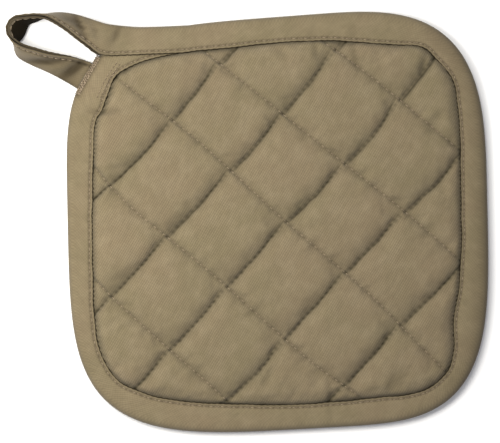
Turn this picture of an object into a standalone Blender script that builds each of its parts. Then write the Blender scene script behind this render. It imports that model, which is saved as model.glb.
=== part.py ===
# Quilted square pot holder with a folded edge binding and a hanging loop.
# Metres, +Z up. The pad lies face up on the plane z = 0. The frame's origin is under the middle
# of the whole outline, loop included, and the pad's sides run along X and Y.
import math

import bpy
from mathutils import Vector
from mathutils.geometry import delaunay_2d_cdt

# The pad's place in the frame
PAD_X = 0.0123
PAD_Y = -0.0029

# The pad's outline is four quarters of rounded squares that share one middle. Each side has its
# distance from that middle and how much it leans, and each corner how square it is.
MIDDLE = Vector((0.0200, 0.0100))
SIDES = {
    # side: reach, lean
    "left": (0.1209, 0.0250),
    "right": (0.0814, 0.0235),
    "top": (0.0893, 0.0298),
    "bottom": (0.1098, 0.0114),
}
SQUARENESS = {
    "top_right": 3.38,
    "top_left": 3.99,
    "bottom_left": 4.35,
    "bottom_right": 3.69,
}
EDGE_STEPS = 120
EDGE_FINE_STEPS = 2400

# The tape that binds the edge, folded round it: the outer face of its fold, then the inner one
TAPE = 0.0010
GAP = 0.0003
BINDING_TOP = 0.0053
BINDING_CROWN = 0.0055
CROWN_SHARE = 0.55
OUTER_FOLD = (
    # inset, height
    (0.0022, 0.0000),
    (0.0007, 0.0007),
    (0.0000, 0.0019),
    (0.0000, 0.0031),
    (0.0007, 0.0044),
    (0.0024, 0.0051),
)
INNER_FOLD = (
    # inset, height
    (0.0027, BINDING_TOP - TAPE),
    (0.0014, 0.0032),
    (0.0014, 0.0018),
    (0.0027, TAPE),
)

# How wide the binding shows, by the direction seen from the outline's middle, as uneven as sewn
WIDTH_TABLE = (
    # direction in degrees, width
    (5, 0.0128),
    (26, 0.0118),
    (37, 0.0101),
    (46, 0.0115),
    (53, 0.0114),
    (64, 0.0152),
    (77, 0.0149),
    (88, 0.0131),
    (104, 0.0128),
    (120, 0.0132),
    (134, 0.0114),
    (139, 0.0110),
    (145, 0.0122),
    (153, 0.0136),
    (160, 0.0125),
    (167, 0.0130),
    (180, 0.0123),
    (195, 0.0118),
    (210, 0.0106),
    (219, 0.0113),
    (226, 0.0134),
    (237, 0.0144),
    (250, 0.0135),
    (264, 0.0121),
    (284, 0.0130),
    (296, 0.0108),
    (307, 0.0103),
    (313, 0.0120),
    (320, 0.0154),
    (329, 0.0143),
    (343, 0.0131),
)

# The panel's thickness: its rim inside the binding, its seams and its pillows
RIM_INSET = 0.0024
RIM_LOW = 0.0016
RIM_HIGH = 0.0036
CLAMP_INSET = 0.0050
CLAMP_LOW = TAPE + GAP
CLAMP_HIGH = BINDING_TOP - TAPE - GAP
SEAM_LOW = 0.0020
SEAM_HIGH = 0.0034
PILLOW_HIGH = 0.0092
PILLOW_REACH = 0.0130
FLAT_REACH = 0.0090
RISING_PINCH = 0.85
FALLING_PINCH = 0.50

# The quilting: five rising and five falling lines. A row is one line: its distance from the pad's
# middle, measured along the other direction, at seven stations along the line.
RISING_TURN = math.radians(44.0)
FALLING_TURN = math.radians(-43.5)
FIRST_STATION = -0.090
STATION_STEP = 0.030
CROSSING_ROUNDS = 8
RISING_LINES = (
    (-0.0754, -0.0729, -0.0702, -0.0703, -0.0725, -0.0726, -0.0729),
    (-0.0337, -0.0337, -0.0340, -0.0335, -0.0336, -0.0354, -0.0372),
    (0.0047, 0.0044, 0.0035, 0.0029, 0.0040, 0.0043, 0.0017),
    (0.0403, 0.0422, 0.0407, 0.0404, 0.0405, 0.0420, 0.0427),
    (0.0774, 0.0772, 0.0772, 0.0769, 0.0784, 0.0805, 0.0824),
)
FALLING_LINES = (
    (-0.0746, -0.0770, -0.0796, -0.0803, -0.0805, -0.0819, -0.0832),
    (-0.0371, -0.0406, -0.0400, -0.0394, -0.0400, -0.0400, -0.0373),
    (0.0027, 0.0045, 0.0040, 0.0029, 0.0030, 0.0027, 0.0002),
    (0.0390, 0.0401, 0.0412, 0.0423, 0.0437, 0.0441, 0.0430),
    (0.0745, 0.0779, 0.0816, 0.0830, 0.0835, 0.0841, 0.0847),
)

# Where each face has points: shares of a diamond, and steps inward from the binding's edge
TOP_SHARES = (0.0, 0.07, 0.18, 0.36, 0.64, 0.82, 0.93)
BOTTOM_SHARES = (0.0, 0.10, 0.25, 0.75, 0.90)
TOP_STEPS = (0.0002, 0.0008, 0.0021)
BOTTOM_STEPS = (0.0002, 0.0020)
LATTICE_STEP = 0.0042
LATTICE_BEYOND = 2
SAME_POINT = 1e-7

# The corner that the tape's end is tucked under stands a little off the surface
LIFT = 0.0025
LIFT_X = -0.087
LIFT_Y = 0.074
LIFT_FULL = 0.017
LIFT_END = 0.062

# The loop: tape folded in half and sewn shut. A row is one place along it: its sewn rim and its
# folded edge from above, how much higher the rim is, and how far the tape has come down from the
# top of the corner (0) to the surface (1).
LOOP_THICKNESS = 0.0020
LOOP_HALF = 0.5 * LOOP_THICKNESS
LOOP_SUBSTEPS = 2
LOOP_SECTION = (
    # share of the width, along from there, side: from the groove between the rims, and round
    (0.0, 0.0005, 0.0000),
    (0.0, 0.0000, 0.0004),
    (0.0, 0.0004, LOOP_HALF),
    (0.5, 0.0000, LOOP_HALF),
    (1.0, -0.0009, 0.0009),
    (1.0, 0.0000, 0.0000),
    (1.0, -0.0009, -0.0009),
    (0.5, 0.0000, -LOOP_HALF),
    (0.0, 0.0004, -LOOP_HALF),
    (0.0, 0.0000, -0.0004),
)
LOOP_STATIONS = (
    # rim x, rim y, fold x, fold y, rise, drop
    (-0.0460, 0.0844, -0.0455, 0.0966, 0.0000, 0.00),
    (-0.0626, 0.0844, -0.0620, 0.0969, 0.0000, 0.00),
    (-0.0760, 0.0847, -0.0730, 0.0978, 0.0002, 0.00),
    (-0.0827, 0.0864, -0.0797, 0.0991, 0.0016, 0.05),
    (-0.0879, 0.0901, -0.0838, 0.1005, 0.0058, 0.38),
    (-0.0930, 0.0941, -0.0880, 0.1018, 0.0086, 0.65),
    (-0.0981, 0.0982, -0.0939, 0.1038, 0.0103, 0.86),
    (-0.1033, 0.1018, -0.1008, 0.1052, 0.0116, 0.97),
    (-0.1072, 0.1036, -0.1067, 0.1046, 0.0123, 1.00),
    (-0.1118, 0.1045, -0.1114, 0.1026, 0.0122, 1.00),
    (-0.1171, 0.1044, -0.1148, 0.1007, 0.0116, 1.00),
    (-0.1218, 0.1039, -0.1168, 0.0994, 0.0107, 1.00),
    (-0.1245, 0.1017, -0.1180, 0.0979, 0.0103, 1.00),
    (-0.1257, 0.0989, -0.1190, 0.0964, 0.0103, 1.00),
    (-0.1248, 0.0953, -0.1200, 0.0946, 0.0112, 1.00),
    (-0.1218, 0.0924, -0.1221, 0.0908, 0.0121, 1.00),
    (-0.1178, 0.0901, -0.1212, 0.0856, 0.0110, 1.00),
    (-0.1126, 0.0883, -0.1151, 0.0815, 0.0101, 1.00),
    (-0.1075, 0.0866, -0.1100, 0.0789, 0.0095, 1.00),
    (-0.1006, 0.0851, -0.1040, 0.0755, 0.0072, 1.00),
    (-0.0935, 0.0836, -0.0982, 0.0718, 0.0032, 1.00),
    (-0.0868, 0.0811, -0.0940, 0.0690, 0.0003, 1.00),
    (-0.0825, 0.0782, -0.0902, 0.0658, 0.0000, 1.00),
    (-0.0797, 0.0762, -0.0871, 0.0640, 0.0000, 1.00),
)

# Cloth colours, linear
PANEL_COLOUR = (0.300, 0.235, 0.142)
BINDING_COLOUR = (0.318, 0.252, 0.154)
LOOP_COLOUR = (0.292, 0.231, 0.139)
CLOTH_ROUGHNESS = 0.92
SHARP_TURN = math.radians(50.0)


def clear_scene():
    for obj in list(bpy.data.objects):
        bpy.data.objects.remove(obj, do_unlink=True)


def cloth(name, colour):
    material = bpy.data.materials.new(name)
    material.use_nodes = True
    shader = material.node_tree.nodes["Principled BSDF"]
    shader.inputs["Base Color"].default_value = (*colour, 1.0)
    shader.inputs["Roughness"].default_value = CLOTH_ROUGHNESS
    shader.inputs["Metallic"].default_value = 0.0
    return material


def mix(low, high, share):
    return low + (high - low) * share


def smooth_share(share):
    share = min(max(share, 0.0), 1.0)
    return share * share * (3.0 - 2.0 * share)


def through(before, start, end, after, share):
    # A smooth curve from start to end whose slopes follow the neighbours
    leave = 0.5 * (end - before)
    arrive = 0.5 * (after - start)
    turn = 2.0 * (start - end) + leave + arrive
    bend = 3.0 * (end - start) - 2.0 * leave - arrive
    return start + share * (leave + share * (bend + share * turn))


# The quilting lines

def line_offset(line, along):
    # The offset of one line at a place along it, straight on past its last stations
    place = (along - FIRST_STATION) / STATION_STEP
    last = len(line) - 1
    if place <= 0.0:
        return line[0] + (line[1] - line[0]) * place
    if place >= last:
        return line[last] + (line[last] - line[last - 1]) * (place - last)
    index = min(int(place), last - 1)
    before = line[max(index - 1, 0)]
    after = line[min(index + 2, last)]
    return through(before, line[index], line[index + 1], after, place - index)


def between_lines(lines, rank, along):
    # Rank 0 is the first line, 1 the next, and the spacing goes on past both ends
    index = min(max(math.floor(rank), 0), len(lines) - 2)
    here = line_offset(lines[index], along)
    there = line_offset(lines[index + 1], along)
    return mix(here, there, rank - index)


def lattice_point(rising_rank, falling_rank):
    # Where a rising and a falling line meet, found by going to and fro between them
    across = 0.0
    along = 0.0
    for _ in range(CROSSING_ROUNDS):
        along = between_lines(FALLING_LINES, falling_rank, across)
        across = between_lines(RISING_LINES, rising_rank, along)
    x = along * math.cos(RISING_TURN) + across * math.cos(FALLING_TURN)
    y = along * math.sin(RISING_TURN) + across * math.sin(FALLING_TURN)
    return Vector((x, y))


def seam_distances(point):
    # How far a point is from the nearest rising line and from the nearest falling line
    crossing_sine = math.sin(RISING_TURN - FALLING_TURN)
    along = (point.y * math.cos(FALLING_TURN) - point.x * math.sin(FALLING_TURN)) / crossing_sine
    across = (point.x * math.sin(RISING_TURN) - point.y * math.cos(RISING_TURN)) / crossing_sine
    to_rising = min(abs(across - line_offset(line, along)) for line in RISING_LINES)
    to_falling = min(abs(along - line_offset(line, across)) for line in FALLING_LINES)
    return to_rising * crossing_sine, to_falling * crossing_sine


# The outline and the binding's width

def outline_point(direction):
    cosine = math.cos(direction)
    sine = math.sin(direction)
    side = "right" if cosine >= 0.0 else "left"
    end = "top" if sine >= 0.0 else "bottom"
    reach_x, lean_x = SIDES[side]
    reach_y, lean_y = SIDES[end]
    power = SQUARENESS[end + "_" + side]
    total = abs(cosine / reach_x) ** power + abs(sine / reach_y) ** power
    radius = total ** (-1.0 / power)
    x = radius * cosine
    y = radius * sine
    leaning = Vector((lean_x * y * cosine * cosine, lean_y * x * sine * sine))
    return MIDDLE + Vector((x, y)) + leaning


def binding_width(direction):
    degrees = math.degrees(direction) % 360.0
    count = len(WIDTH_TABLE)
    index = sum(1 for row in WIDTH_TABLE if row[0] <= degrees) - 1
    start = WIDTH_TABLE[index % count]
    end = WIDTH_TABLE[(index + 1) % count]
    before = WIDTH_TABLE[(index - 1) % count]
    after = WIDTH_TABLE[(index + 2) % count]
    span = (end[0] - start[0]) % 360.0
    share = ((degrees - start[0]) % 360.0) / span
    return through(before[1], start[1], end[1], after[1], share)


def edge_stations():
    # Evenly spaced places on the outline, each with its inward direction and binding width
    turns = [2.0 * math.pi * step / EDGE_FINE_STEPS for step in range(EDGE_FINE_STEPS + 1)]
    points = [outline_point(turn) for turn in turns]
    lengths = [0.0]
    for start, end in zip(points, points[1:]):
        lengths.append(lengths[-1] + (end - start).length)
    stations = []
    index = 0
    for step in range(EDGE_STEPS):
        wanted = lengths[-1] * step / EDGE_STEPS
        while lengths[index + 1] < wanted:
            index += 1
        ahead = (points[index + 1] - points[index]).normalized()
        inward = Vector((-ahead.y, ahead.x))
        stations.append((points[index], inward, binding_width(turns[index])))
    return stations


def corner_lift(x, y):
    distance = math.hypot(x - LIFT_X, y - LIFT_Y)
    fade = (distance - LIFT_FULL) / (LIFT_END - LIFT_FULL)
    return LIFT * (1.0 - smooth_share(fade))


def inset_and_width(point, stations):
    # How far inside the outline a point lies, and how wide the binding is beside it
    nearest = math.inf
    inset = 0.0
    best_width = 0.0
    count = len(stations)
    for index in range(count):
        start, inward, width = stations[index]
        end, _, next_width = stations[(index + 1) % count]
        side = end - start
        share = min(max((point - start).dot(side) / side.length_squared, 0.0), 1.0)
        offset = point - (start + side * share)
        if offset.length < nearest:
            nearest = offset.length
            inset = math.copysign(nearest, offset.dot(inward))
            best_width = mix(width, next_width, share)
    return inset, best_width


# The quilted panel

def pillow(distance, reach):
    # A quarter-round rise from a seam to the flat of a pillow
    rest = 1.0 - min(max(distance / reach, 0.0), 1.0)
    return math.sqrt(1.0 - rest * rest)


def fullness(point, past_binding, reach):
    # 0 where the panel is sewn flat, 1 on a pillow
    to_rising, to_falling = seam_distances(point)
    full = 1.0 - RISING_PINCH * (1.0 - pillow(to_rising, reach))
    full *= 1.0 - FALLING_PINCH * (1.0 - pillow(to_falling, reach))
    return full * pillow(past_binding, reach)


def top_height(point, past_binding):
    seam = mix(CLAMP_HIGH, SEAM_HIGH, smooth_share(past_binding / PILLOW_REACH))
    return mix(seam, PILLOW_HIGH, fullness(point, past_binding, PILLOW_REACH))


def bottom_height(point, past_binding):
    seam = mix(CLAMP_LOW, SEAM_LOW, smooth_share(past_binding / PILLOW_REACH))
    return mix(seam, 0.0, fullness(point, past_binding, FLAT_REACH))


def face_points(stations, shares, steps, rim_height, clamp_height, height):
    # One face's points: rings under the binding, rings beside it, then the diamond lattice
    points = []
    edges = []
    rings = [[(start + inward * RIM_INSET, rim_height) for start, inward, _ in stations]]
    rings.append([(start + inward * CLAMP_INSET, clamp_height) for start, inward, _ in stations])
    for step in steps:
        ring = []
        for start, inward, width in stations:
            place = start + inward * (width + step)
            ring.append((place, height(place, step - steps[0])))
        rings.append(ring)
    for ring in rings:
        first = len(points)
        count = len(ring)
        points.extend(ring)
        edges.extend((first + index, first + (index + 1) % count) for index in range(count))
    ranks = range(-LATTICE_BEYOND, len(RISING_LINES) - 1 + LATTICE_BEYOND)
    places = [rank + share for rank in ranks for share in shares]
    row_before = {}
    for rising in places:
        row = {}
        for falling in places:
            place = lattice_point(rising, falling)
            inset, width = inset_and_width(place, stations)
            if inset < width + LATTICE_STEP:
                continue
            row[falling] = len(points)
            points.append((place, height(place, inset - width - steps[0])))
        if rising == math.floor(rising):
            ordered = list(row.values())
            edges.extend(zip(ordered, ordered[1:]))
        for falling, index in row.items():
            if falling == math.floor(falling) and falling in row_before:
                edges.append((row_before[falling], index))
        row_before = row
    return points, edges


def triangulated(points, edges, rim_count):
    rim = list(range(rim_count))
    flat_points = [place for place, _ in points]
    result = delaunay_2d_cdt(flat_points, edges, [rim], 1, SAME_POINT)
    return result[0], result[2], result[3]


def quilted_panel(stations):
    top = face_points(stations, TOP_SHARES, TOP_STEPS, RIM_HIGH, CLAMP_HIGH, top_height)
    bottom = face_points(stations, BOTTOM_SHARES, BOTTOM_STEPS, RIM_LOW, CLAMP_LOW, bottom_height)
    count = len(stations)
    vertices = []
    faces = []
    rims = []
    for (points, edges), facing_up in ((top, True), (bottom, False)):
        places, triangles, sources = triangulated(points, edges, count)
        first = len(vertices)
        rim = {}
        for index, (place, source) in enumerate(zip(places, sources)):
            height = points[source[0]][1]
            vertices.append((place.x, place.y, height + corner_lift(place.x, place.y)))
            if source[0] < count:
                rim[source[0]] = first + index
        rims.append(rim)
        for triangle in triangles:
            corners = [first + index for index in triangle]
            faces.append(corners if facing_up else corners[::-1])
    for index in range(count):
        following = (index + 1) % count
        high, low = rims
        faces.append((low[index], low[following], high[following], high[index]))
    return vertices, faces


# The edge binding and the loop are both rings of points joined in order

def joined_rings(rings, closed):
    vertices = [point for ring in rings for point in ring]
    count = len(rings[0])
    faces = []
    last = len(rings) if closed else len(rings) - 1
    for row in range(last):
        here = row * count
        there = ((row + 1) % len(rings)) * count
        for index in range(count):
            following = (index + 1) % count
            faces.append((here + index, there + index, there + following, here + following))
    if not closed:
        faces.append(tuple(range(count)))
        faces.append(tuple(range(len(vertices) - count, len(vertices)))[::-1])
    return vertices, faces


def binding_section(width):
    # Inset and height round the folded tape, from its lower inner edge
    outside = ((width, 0.0), *OUTER_FOLD, (CROWN_SHARE * width, BINDING_CROWN), (width, BINDING_TOP))
    inside = ((width, BINDING_TOP - TAPE), *INNER_FOLD, (width, TAPE))
    return outside + inside


def edge_binding(stations):
    rings = []
    for start, inward, width in stations:
        ring = []
        for inset, height in binding_section(width):
            place = start + inward * inset
            ring.append((place.x, place.y, height + corner_lift(place.x, place.y)))
        rings.append(ring)
    return joined_rings(rings, True)


def loop_rows():
    rows = []
    last = len(LOOP_STATIONS) - 1
    for index in range(last):
        before = LOOP_STATIONS[max(index - 1, 0)]
        start = LOOP_STATIONS[index]
        end = LOOP_STATIONS[index + 1]
        after = LOOP_STATIONS[min(index + 2, last)]
        for step in range(LOOP_SUBSTEPS):
            share = step / LOOP_SUBSTEPS
            columns = zip(before, start, end, after)
            rows.append([through(a, b, c, d, share) for a, b, c, d in columns])
    rows.append(list(LOOP_STATIONS[last]))
    return rows


def lying_height(x, y, drop):
    # The middle of the tape's thickness where it lies, from on top of the corner to the surface
    on_corner = BINDING_CROWN + GAP + corner_lift(x, y)
    return LOOP_HALF + mix(on_corner, 0.0, min(max(drop, 0.0), 1.0))


def loop_edges(row):
    # The rim and the folded edge as points in space
    rim_x, rim_y, fold_x, fold_y, rise, drop = row
    fold = Vector((fold_x, fold_y, lying_height(fold_x, fold_y, drop)))
    rim = Vector((rim_x, rim_y, lying_height(rim_x, rim_y, drop) + max(rise, 0.0)))
    return rim, fold


def hanging_loop():
    edges = [loop_edges(row) for row in loop_rows()]
    middles = [0.5 * (rim + fold) for rim, fold in edges]
    rings = []
    for index, (rim, fold) in enumerate(edges):
        ahead = middles[min(index + 1, len(middles) - 1)] - middles[max(index - 1, 0)]
        across = (fold - rim).normalized()
        normal = ahead.cross(across).normalized()
        width = (fold - rim).length
        ring = []
        for share, along, side in LOOP_SECTION:
            point = rim + across * (share * width + along) + normal * side
            ring.append((point.x, point.y, max(point.z, 0.0)))
        rings.append(ring)
    return joined_rings(rings, False)


def add_piece(name, shape, material):
    vertices, faces = shape
    mesh = bpy.data.meshes.new(name)
    mesh.from_pydata(vertices, [], faces)
    mesh.materials.append(material)
    mesh.shade_smooth()
    mesh.set_sharp_from_angle(angle=SHARP_TURN)
    piece = bpy.data.objects.new(name, mesh)
    piece.location = (PAD_X, PAD_Y, 0.0)
    bpy.context.collection.objects.link(piece)


def main():
    clear_scene()
    stations = edge_stations()
    add_piece("quilted_panel", quilted_panel(stations), cloth("panel_twill", PANEL_COLOUR))
    add_piece("edge_binding", edge_binding(stations), cloth("binding_tape", BINDING_COLOUR))
    add_piece("hanging_loop", hanging_loop(), cloth("loop_tape", LOOP_COLOUR))


main()
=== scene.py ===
import math

import bpy
import numpy as np
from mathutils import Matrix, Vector, noise
from mathutils.bvhtree import BVHTree


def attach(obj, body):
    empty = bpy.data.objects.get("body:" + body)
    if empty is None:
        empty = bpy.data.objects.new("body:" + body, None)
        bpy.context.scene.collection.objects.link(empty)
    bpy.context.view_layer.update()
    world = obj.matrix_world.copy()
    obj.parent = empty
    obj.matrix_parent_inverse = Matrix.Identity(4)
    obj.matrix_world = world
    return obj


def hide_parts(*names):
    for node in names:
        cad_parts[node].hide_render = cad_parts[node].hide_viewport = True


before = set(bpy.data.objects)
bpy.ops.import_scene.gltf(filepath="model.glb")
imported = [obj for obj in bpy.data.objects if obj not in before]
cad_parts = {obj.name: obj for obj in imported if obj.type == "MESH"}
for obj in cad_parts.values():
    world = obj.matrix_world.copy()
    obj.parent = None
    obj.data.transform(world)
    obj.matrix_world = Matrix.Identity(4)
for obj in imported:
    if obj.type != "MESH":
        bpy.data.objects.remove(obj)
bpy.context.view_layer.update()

padPlace = (0.0123, -0.0029)  # the pad's place in the frame
up = np.array((0.0, 0.0, 1.0))
waveTurn = 2.0 * math.pi / 20.0   # a wave texture's scale that gives one band a unit


# Small helpers

def linearColour(hexColour):
    # sRGB hex to linear red, green, blue, alpha
    values = []
    for index in (1, 3, 5):
        value = int(hexColour[index:index + 2], 16) / 255.0
        values.append(value / 12.92 if value <= 0.04045 else ((value + 0.055) / 1.055) ** 2.4)
    return (*values, 1.0)


def addNode(tree, kind, settings=None, links=None):
    # One node, with its settings by property or socket name and its links by socket name
    node = tree.nodes.new(kind)
    for name, value in (settings or {}).items():
        if isinstance(name, str) and name not in node.inputs:
            setattr(node, name, value)
    for name, value in (settings or {}).items():
        if not isinstance(name, str) or name in node.inputs:
            node.inputs[name].default_value = value
    for name, source in (links or {}).items():
        tree.links.new(source, node.inputs[name])
    return node


def blend(low, high, share):
    return low + (high - low) * share


def smoothShare(share):
    share = np.clip(share, 0.0, 1.0)
    return share * share * (3.0 - 2.0 * share)


def bell(distance, width):
    return np.exp(-(distance / width) ** 2)


def curveThrough(before, start, end, after, share):
    # A smooth curve from start to end whose slopes follow the neighbours
    leave = 0.5 * (end - before)
    arrive = 0.5 * (after - start)
    turn = 2.0 * (start - end) + leave + arrive
    bend = 3.0 * (end - start) - 2.0 * leave - arrive
    return start + share * (leave + share * (bend + share * turn))


def uneven(points, size, seed):
    # Smooth uneven values from about -1 to 1, one a point, in lumps of that size
    x = points[:, 0] / size[0] + seed
    y = points[:, 1] / size[1] - seed
    return np.array([noise.noise((a, b, seed * 0.37)) for a, b in zip(x, y)])


def unit(vectors):
    return vectors / np.maximum(np.linalg.norm(vectors, axis=-1, keepdims=True), 1e-12)


def addMesh(name, points, faces, material, places):
    # A smooth mesh moved to the pad's place, with the cloth's own coordinates for its weave
    mesh = bpy.data.meshes.new(name)
    moved = points + np.array((*padPlace, 0.0))
    mesh.from_pydata(moved.tolist(), [], faces)
    mesh.materials.append(material)
    mesh.shade_smooth()
    layer = mesh.attributes.new("clothPlace", "FLOAT_VECTOR", "POINT")
    layer.data.foreach_set("vector", places.astype(np.float32).ravel())
    piece = bpy.data.objects.new(name, mesh)
    bpy.context.collection.objects.link(piece)
    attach(piece, "root")
    return piece


# The pad's outline, the binding's width and the lift of the corner

outline = {
    "middle": (0.0200, 0.0100),
    "sides": {  # reach, lean
        "left": (0.1209, 0.0250),
        "right": (0.0814, 0.0235),
        "top": (0.0893, 0.0298),
        "bottom": (0.1098, 0.0114),
    },
    "squareness": {"top_right": 3.38, "top_left": 3.99, "bottom_left": 4.35, "bottom_right": 3.69},
    "firstEnd": 127.5,      # direction of the tape's first end, degrees
    "steps": 4000,
    "widths": (  # direction in degrees, width
        (5, 0.0128), (26, 0.0118), (37, 0.0101), (46, 0.0115), (53, 0.0114), (64, 0.0152),
        (77, 0.0149), (88, 0.0131), (104, 0.0128), (118, 0.0134), (126, 0.0131), (134, 0.0124),
        (138, 0.0121), (142, 0.0119), (145, 0.0124), (149, 0.0143), (153, 0.0151), (156, 0.0149),
        (158, 0.0134), (162, 0.0130), (167, 0.0132), (180, 0.0123), (195, 0.0118),
        (210, 0.0106), (219, 0.0113), (226, 0.0134), (237, 0.0144), (250, 0.0135), (264, 0.0121),
        (284, 0.0130), (296, 0.0108), (307, 0.0103), (313, 0.0120), (320, 0.0154), (329, 0.0143),
        (343, 0.0131),
    ),
    "lift": 0.0025,          # how far the corner stands off the surface
    "liftPlace": (-0.087, 0.074),
    "liftFull": 0.017,
    "liftEnd": 0.062,
}


def outlinePoint(direction):
    cosine = math.cos(direction)
    sine = math.sin(direction)
    side = "right" if cosine >= 0.0 else "left"
    end = "top" if sine >= 0.0 else "bottom"
    reachX, leanX = outline["sides"][side]
    reachY, leanY = outline["sides"][end]
    power = outline["squareness"][end + "_" + side]
    total = abs(cosine / reachX) ** power + abs(sine / reachY) ** power
    radius = total ** (-1.0 / power)
    x = radius * cosine
    y = radius * sine
    middleX, middleY = outline["middle"]
    return middleX + x + leanX * y * cosine * cosine, middleY + y + leanY * x * sine * sine


def bindingWidth(direction):
    degrees = math.degrees(direction) % 360.0
    rows = outline["widths"]
    count = len(rows)
    index = sum(1 for row in rows if row[0] <= degrees) - 1
    before, start, end, after = (rows[(index + step) % count] for step in (-1, 0, 1, 2))
    share = ((degrees - start[0]) % 360.0) / ((end[0] - start[0]) % 360.0)
    return curveThrough(before[1], start[1], end[1], after[1], share)


def cornerLift(x, y):
    distance = np.hypot(x - outline["liftPlace"][0], y - outline["liftPlace"][1])
    fade = (distance - outline["liftFull"]) / (outline["liftEnd"] - outline["liftFull"])
    return outline["lift"] * (1.0 - smoothShare(fade))


def edgeStations(spacing):
    # Evenly spaced places once round the outline from the tape's first end
    first = math.radians(outline["firstEnd"])
    turns = first + np.linspace(0.0, 2.0 * math.pi, outline["steps"] + 1)
    points = np.array([outlinePoint(turn) for turn in turns])
    lengths = np.concatenate(([0.0], np.cumsum(np.linalg.norm(np.diff(points, axis=0), axis=1))))
    count = int(round(lengths[-1] / spacing))
    wanted = np.linspace(0.0, lengths[-1], count + 1)
    places = np.stack([np.interp(wanted, lengths, points[:, axis]) for axis in (0, 1)], axis=1)
    ahead = np.gradient(places, axis=0)
    ahead[0] = ahead[-1] = places[1] - places[-2]
    ahead = unit(ahead)
    inward = np.stack((-ahead[:, 1], ahead[:, 0]), axis=1)
    widths = np.array([bindingWidth(turn) for turn in np.interp(wanted, lengths, turns)])
    return places, inward, widths


def insetAndWidth(points, stations):
    # How far inside the outline each point lies, and the binding's width beside it
    places, inward, widths = stations
    start = places[:-1]
    side = places[1:] - start
    insets = []
    beside = []
    for chunk in np.array_split(points, max(len(points) // 3000, 1)):
        offset = chunk[:, None] - start[None]
        share = np.clip((offset * side).sum(-1) / (side * side).sum(-1), 0.0, 1.0)
        away = offset - share[..., None] * side
        distance = np.linalg.norm(away, axis=-1)
        nearest = distance.argmin(axis=1)
        rows = np.arange(len(chunk))
        sign = np.sign((away[rows, nearest] * inward[nearest]).sum(-1))
        insets.append(distance[rows, nearest] * sign)
        beside.append(blend(widths[nearest], widths[nearest + 1], share[rows, nearest]))
    return np.concatenate(insets), np.concatenate(beside)


# The quilting lines. A row is one line: its distance from the pad's middle, measured along the
# other direction, at seven stations along the line.

quilting = {
    "risingTurn": math.radians(44.0),
    "fallingTurn": math.radians(-43.5),
    "firstStation": -0.090,
    "stationStep": 0.030,
    "rising": np.array((
        (-0.0754, -0.0729, -0.0702, -0.0703, -0.0725, -0.0726, -0.0729),
        (-0.0337, -0.0337, -0.0340, -0.0335, -0.0336, -0.0354, -0.0372),
        (0.0047, 0.0044, 0.0035, 0.0029, 0.0040, 0.0043, 0.0017),
        (0.0403, 0.0422, 0.0407, 0.0404, 0.0405, 0.0420, 0.0427),
        (0.0774, 0.0772, 0.0772, 0.0769, 0.0784, 0.0805, 0.0824),
    )),
    "falling": np.array((
        (-0.0746, -0.0770, -0.0796, -0.0803, -0.0805, -0.0819, -0.0832),
        (-0.0371, -0.0406, -0.0400, -0.0394, -0.0400, -0.0400, -0.0373),
        (0.0027, 0.0045, 0.0040, 0.0029, 0.0030, 0.0027, 0.0002),
        (0.0390, 0.0401, 0.0412, 0.0423, 0.0437, 0.0441, 0.0430),
        (0.0745, 0.0779, 0.0816, 0.0830, 0.0835, 0.0841, 0.0847),
    )),
    "stitches": 13,          # stitches along one side of a diamond, about 2.9 mm each
    "besideSeam": (0.012, 0.026, 0.0577),   # extra rows of points, shares of a diamond
}


def lineOffset(lines, along):
    # The offset of each line at its place along it, straight on past its last stations
    place = (along - quilting["firstStation"]) / quilting["stationStep"]
    last = lines.shape[-1] - 1
    index = np.clip(np.floor(place).astype(int), 0, last - 1)

    def station(step):
        column = np.clip(index + step, 0, last)[..., None]
        return np.take_along_axis(lines, column, axis=-1)[..., 0]

    inside = curveThrough(station(-1), station(0), station(1), station(2), place - index)
    before = lines[..., 0] + (lines[..., 1] - lines[..., 0]) * place
    after = lines[..., last] + (lines[..., last] - lines[..., last - 1]) * (place - last)
    return np.where(place <= 0.0, before, np.where(place >= last, after, inside))


def betweenLines(lines, rank, along):
    index = np.clip(np.floor(rank).astype(int), 0, len(lines) - 2)
    here = lineOffset(lines[index], along)
    there = lineOffset(lines[index + 1], along)
    return blend(here, there, rank - index)


def latticePoints(risingRank, fallingRank):
    # Where rising and falling lines meet, found by going to and fro between them
    across = np.zeros_like(risingRank)
    for _ in range(8):
        along = betweenLines(quilting["falling"], fallingRank, across)
        across = betweenLines(quilting["rising"], risingRank, along)
    rising = quilting["risingTurn"]
    falling = quilting["fallingTurn"]
    x = along * math.cos(rising) + across * math.cos(falling)
    y = along * math.sin(rising) + across * math.sin(falling)
    return np.stack((x, y), axis=-1)


def seamDistances(points):
    # How far each point is from the nearest rising and the nearest falling seam
    rising = quilting["risingTurn"]
    falling = quilting["fallingTurn"]
    crossing = math.sin(rising - falling)
    x, y = points[:, 0], points[:, 1]
    along = (y * math.cos(falling) - x * math.sin(falling)) / crossing
    across = (x * math.sin(rising) - y * math.cos(rising)) / crossing

    def nearest(lines, offset, place):
        rows = [np.abs(offset - lineOffset(np.tile(line, (len(place), 1)), place)) for line in lines]
        return np.min(rows, axis=0) * crossing

    return nearest(quilting["rising"], across, along), nearest(quilting["falling"], along, across)


# Materials

panelCloth = {
    "yarn": "#74684f",
    "faded": "#85785f",
    "greenish": "#70664a",
    "pinkish": "#7b6a53",
    # Painted shade: seamShade darkens the cloth towards this colour in seams, folds, needle holes and gaps,
    # and on towards deepFold
    "seamShadeColour": "#4c4431",
    "deepFold": "#1a1810",   # where hardly any light gets in between two layers
    # mm; a real rib is about 0.5 mm wide, which is too fine to show, so it is drawn coarser
    "twillPitch": 1.0,
    "twillTurn": 57.0,       # the ribs' direction from the pad's lower edge, degrees
    "weftPitch": 1.3,        # mm between the floats along a rib
    "ribTone": (0.83, 1.13),  # brightness between two ribs and on a rib
    "bumpHeight": 0.00009,
    "roughness": 0.9,
}

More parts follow.
